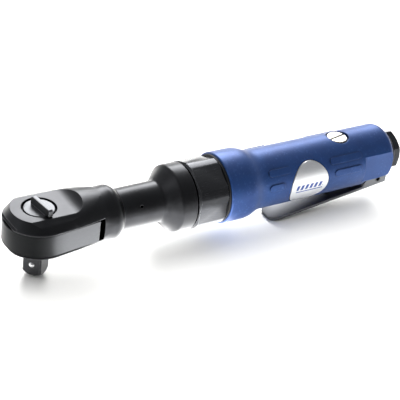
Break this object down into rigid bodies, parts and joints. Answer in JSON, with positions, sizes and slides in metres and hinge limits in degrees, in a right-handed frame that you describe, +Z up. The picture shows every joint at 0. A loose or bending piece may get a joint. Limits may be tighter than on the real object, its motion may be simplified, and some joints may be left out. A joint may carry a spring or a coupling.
{
  "type": "air ratchet",
  "caption": "Pneumatic ratchet wrench: forked head with square drive and reversing knob, round neck, coupling nut, tubular motor housing with throttle lever and air inlet.",
  "frame": {"origin": "where the square drive's axis crosses the axis of the motor body, inside the ratchet head", "axes": "+X along the body from the head to the air inlet, +Z up through the reversing knob, the square drive points along -Z"},
  "size_m": [0.2255, 0.0364, 0.0441],
  "materials": {
    "black_forging": "satin black oxide over a forging",
    "black_forging_machined": "satin black oxide, ground faces",
    "drive_steel": "dark hardened steel",
    "bearing_steel": "polished",
    "spring_steel": "drawn wire",
    "hardened_steel": "ground",
    "knob_steel": "dark cast and ground",
    "bronze": "turned",
    "black_nut": "satin black, milled flats",
    "seal_rubber": "matt",
    "blue_paint": "textured metallic blue",
    "badge_silver": "satin silver",
    "plate_iron": "ground",
    "vane_resin": "phenolic cloth laminate",
    "stem_steel": "ground",
    "plug_chrome": "bright plated, slotted",
    "lever_steel": "pressed sheet, dark with bright ears",
    "black_bushing": "black oxide",
    "black_deflector": "moulded, satin",
    "felt": "pressed felt"
  },
  "bodies": {
    "tool_body": {"ratchet_housing": "black_forging", "thrust_washer": "hardened_steel", "snap_ring": "spring_steel", "ring_gear": "hardened_steel", "gear_spacer": "hardened_steel", "clamp_nut": "black_nut", "seal_ring": "seal_rubber", "motor_housing": "blue_paint", "badge": "badge_silver", "front_end_plate": "plate_iron", "front_bearing": "bearing_steel", "motor_cylinder": "plate_iron", "cylinder_dowel": "bearing_steel", "rear_end_plate": "plate_iron", "rear_bearing": "bearing_steel", "gasket": "seal_rubber", "valve_seat": "bronze", "valve_spring": "spring_steel", "valve_plug": "plug_chrome", "plug_seal": "seal_rubber", "lever_pin": "bearing_steel", "inlet_bushing": "black_bushing", "inlet_screen": "spring_steel", "muffler": "felt", "front_needle_bearing": "bearing_steel", "rear_needle_bearing": "bearing_steel"},
    "drive": {"anvil": "drive_steel", "pawl_pin": "hardened_steel", "detent_spring": "spring_steel"},
    "ball": {"detent_ball": "bearing_steel"},
    "pawl": {"pawl": "hardened_steel"},
    "knob": {"reverse_knob": "knob_steel", "knob_plunger": "hardened_steel", "plunger_spring": "spring_steel"},
    "yoke": {"yoke": "black_forging_machined"},
    "bush": {"drive_bush": "bronze"},
    "crank": {"crankshaft": "hardened_steel", "planet_pins": "bearing_steel"},
    "planet_1": {"planet_gear_1": "hardened_steel"},
    "planet_2": {"planet_gear_2": "hardened_steel"},
    "planet_3": {"planet_gear_3": "hardened_steel"},
    "rotor": {"rotor": "hardened_steel", "rotor_vanes": "vane_resin"},
    "lever": {"throttle_lever": "lever_steel"},
    "stem": {"valve_stem": "stem_steel"},
    "deflector": {"exhaust_deflector": "black_deflector"}
  },
  "joints": [
    {"name": "drive_turn", "type": "hinge", "parent": "tool_body", "child": "drive", "pos_m": [0, 0, 0], "axis": [0, 0, 1], "continuous": true},
    {"name": "detent_ball_slide", "type": "slide", "parent": "drive", "child": "ball", "axis": [-0.7716, -0.6361, 0], "range_m": [-0.00075, 0], "stiffness_N_per_m": 600, "springref_m": 0.004, "deforming": ["detent_spring"]},
    {"name": "knob_turn", "type": "hinge", "parent": "drive", "child": "knob", "pos_m": [0, 0, 0], "axis": [0, 0, 1], "range_deg": [-30, 30]},
    {"name": "pawl_rock", "type": "hinge", "parent": "drive", "child": "pawl", "pos_m": [0.0063, 0, 0], "axis": [0, 0, 1], "range_deg": [-1.6, 1.6]},
    {"name": "crank_turn", "type": "hinge", "parent": "tool_body", "child": "crank", "pos_m": [0, 0, 0], "axis": [1, 0, 0], "range_deg": [-90, 90]},
    {"name": "yoke_swing", "type": "hinge", "parent": "tool_body", "child": "yoke", "pos_m": [0, 0, 0], "axis": [0, 0, 1], "range_deg": [-7.2, 7.2]},
    {"name": "bush_level", "type": "hinge", "parent": "crank", "child": "bush", "pos_m": [0.0202, 0, 0.0022], "axis": [1, 0, 0], "range_deg": [-91, 91]},
    {"name": "rotor_turn", "type": "hinge", "parent": "tool_body", "child": "rotor", "pos_m": [0, 0, 0], "axis": [1, 0, 0], "range_deg": [-361, 361]},
    {"name": "planet_1_turn", "type": "hinge", "parent": "crank", "child": "planet_1", "pos_m": [0.08, 0.0072, 0], "axis": [1, 0, 0], "range_deg": [-271, 271]},
    {"name": "planet_2_turn", "type": "hinge", "parent": "crank", "child": "planet_2", "pos_m": [0.08, -0.0036, 0.00624], "axis": [1, 0, 0], "range_deg": [-271, 271]},
    {"name": "planet_3_turn", "type": "hinge", "parent": "crank", "child": "planet_3", "pos_m": [0.08, -0.0036, -0.00624], "axis": [1, 0, 0], "range_deg": [-271, 271]},
    {"name": "lever_squeeze", "type": "hinge", "parent": "tool_body", "child": "lever", "pos_m": [0.1985, 0, -0.013], "axis": [0, 1, 0], "range_deg": [0, 5.5], "stiffness_Nm_per_rad": 4, "springref_deg": -11.46},
    {"name": "valve_lift", "type": "slide", "parent": "tool_body", "child": "stem", "axis": [0, 0, 1], "range_m": [0, 0.0027], "deforming": ["valve_spring"]},
    {"name": "deflector_swivel", "type": "hinge", "parent": "tool_body", "child": "deflector", "pos_m": [0.202, 0, 0], "axis": [1, 0, 0], "continuous": true}
  ],
  "couplings": [
    {"joint": "pawl_rock", "follows": "knob_turn", "ratio": -0.05},
    {"joint": "yoke_swing", "follows": "crank_turn", "ratio": -0.07896},
    {"joint": "bush_level", "follows": "crank_turn", "ratio": -1},
    {"joint": "rotor_turn", "follows": "crank_turn", "ratio": 4},
    {"joint": "planet_1_turn", "follows": "crank_turn", "ratio": -3},
    {"joint": "planet_2_turn", "follows": "crank_turn", "ratio": -3},
    {"joint": "planet_3_turn", "follows": "crank_turn", "ratio": -3},
    {"joint": "valve_lift", "follows": "lever_squeeze", "m_per_rad": 0.0279}
  ]
}
